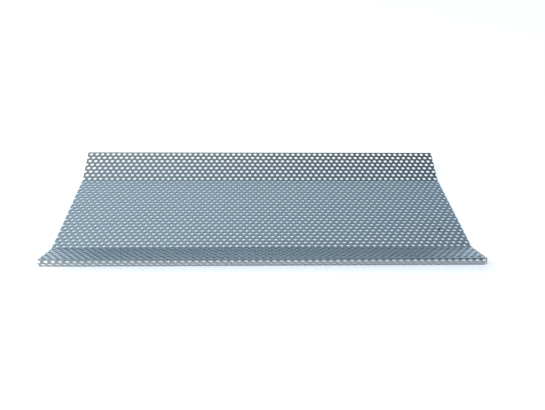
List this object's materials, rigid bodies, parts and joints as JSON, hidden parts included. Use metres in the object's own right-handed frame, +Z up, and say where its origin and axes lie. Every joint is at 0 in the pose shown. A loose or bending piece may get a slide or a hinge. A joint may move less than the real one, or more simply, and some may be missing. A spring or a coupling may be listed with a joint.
{
  "type": "sediment screen",
  "caption": "Perforated steel sheet folded into a shallow open-ended tray, with two rising flanges and a front lip folded down and back under, that holds back sediment.",
  "frame": {"origin": "under the middle of the sheet, on the surface that its floor lies on", "axes": "+X along the length, +Y from the front lip to the back flange, +Z up"},
  "size_m": [0.508, 0.282, 0.0204],
  "materials": {
    "screen_steel": "dull grey mill finish"
  },
  "bodies": {
    "root": {"screen_sheet": "screen_steel"}
  },
  "joints": []
}
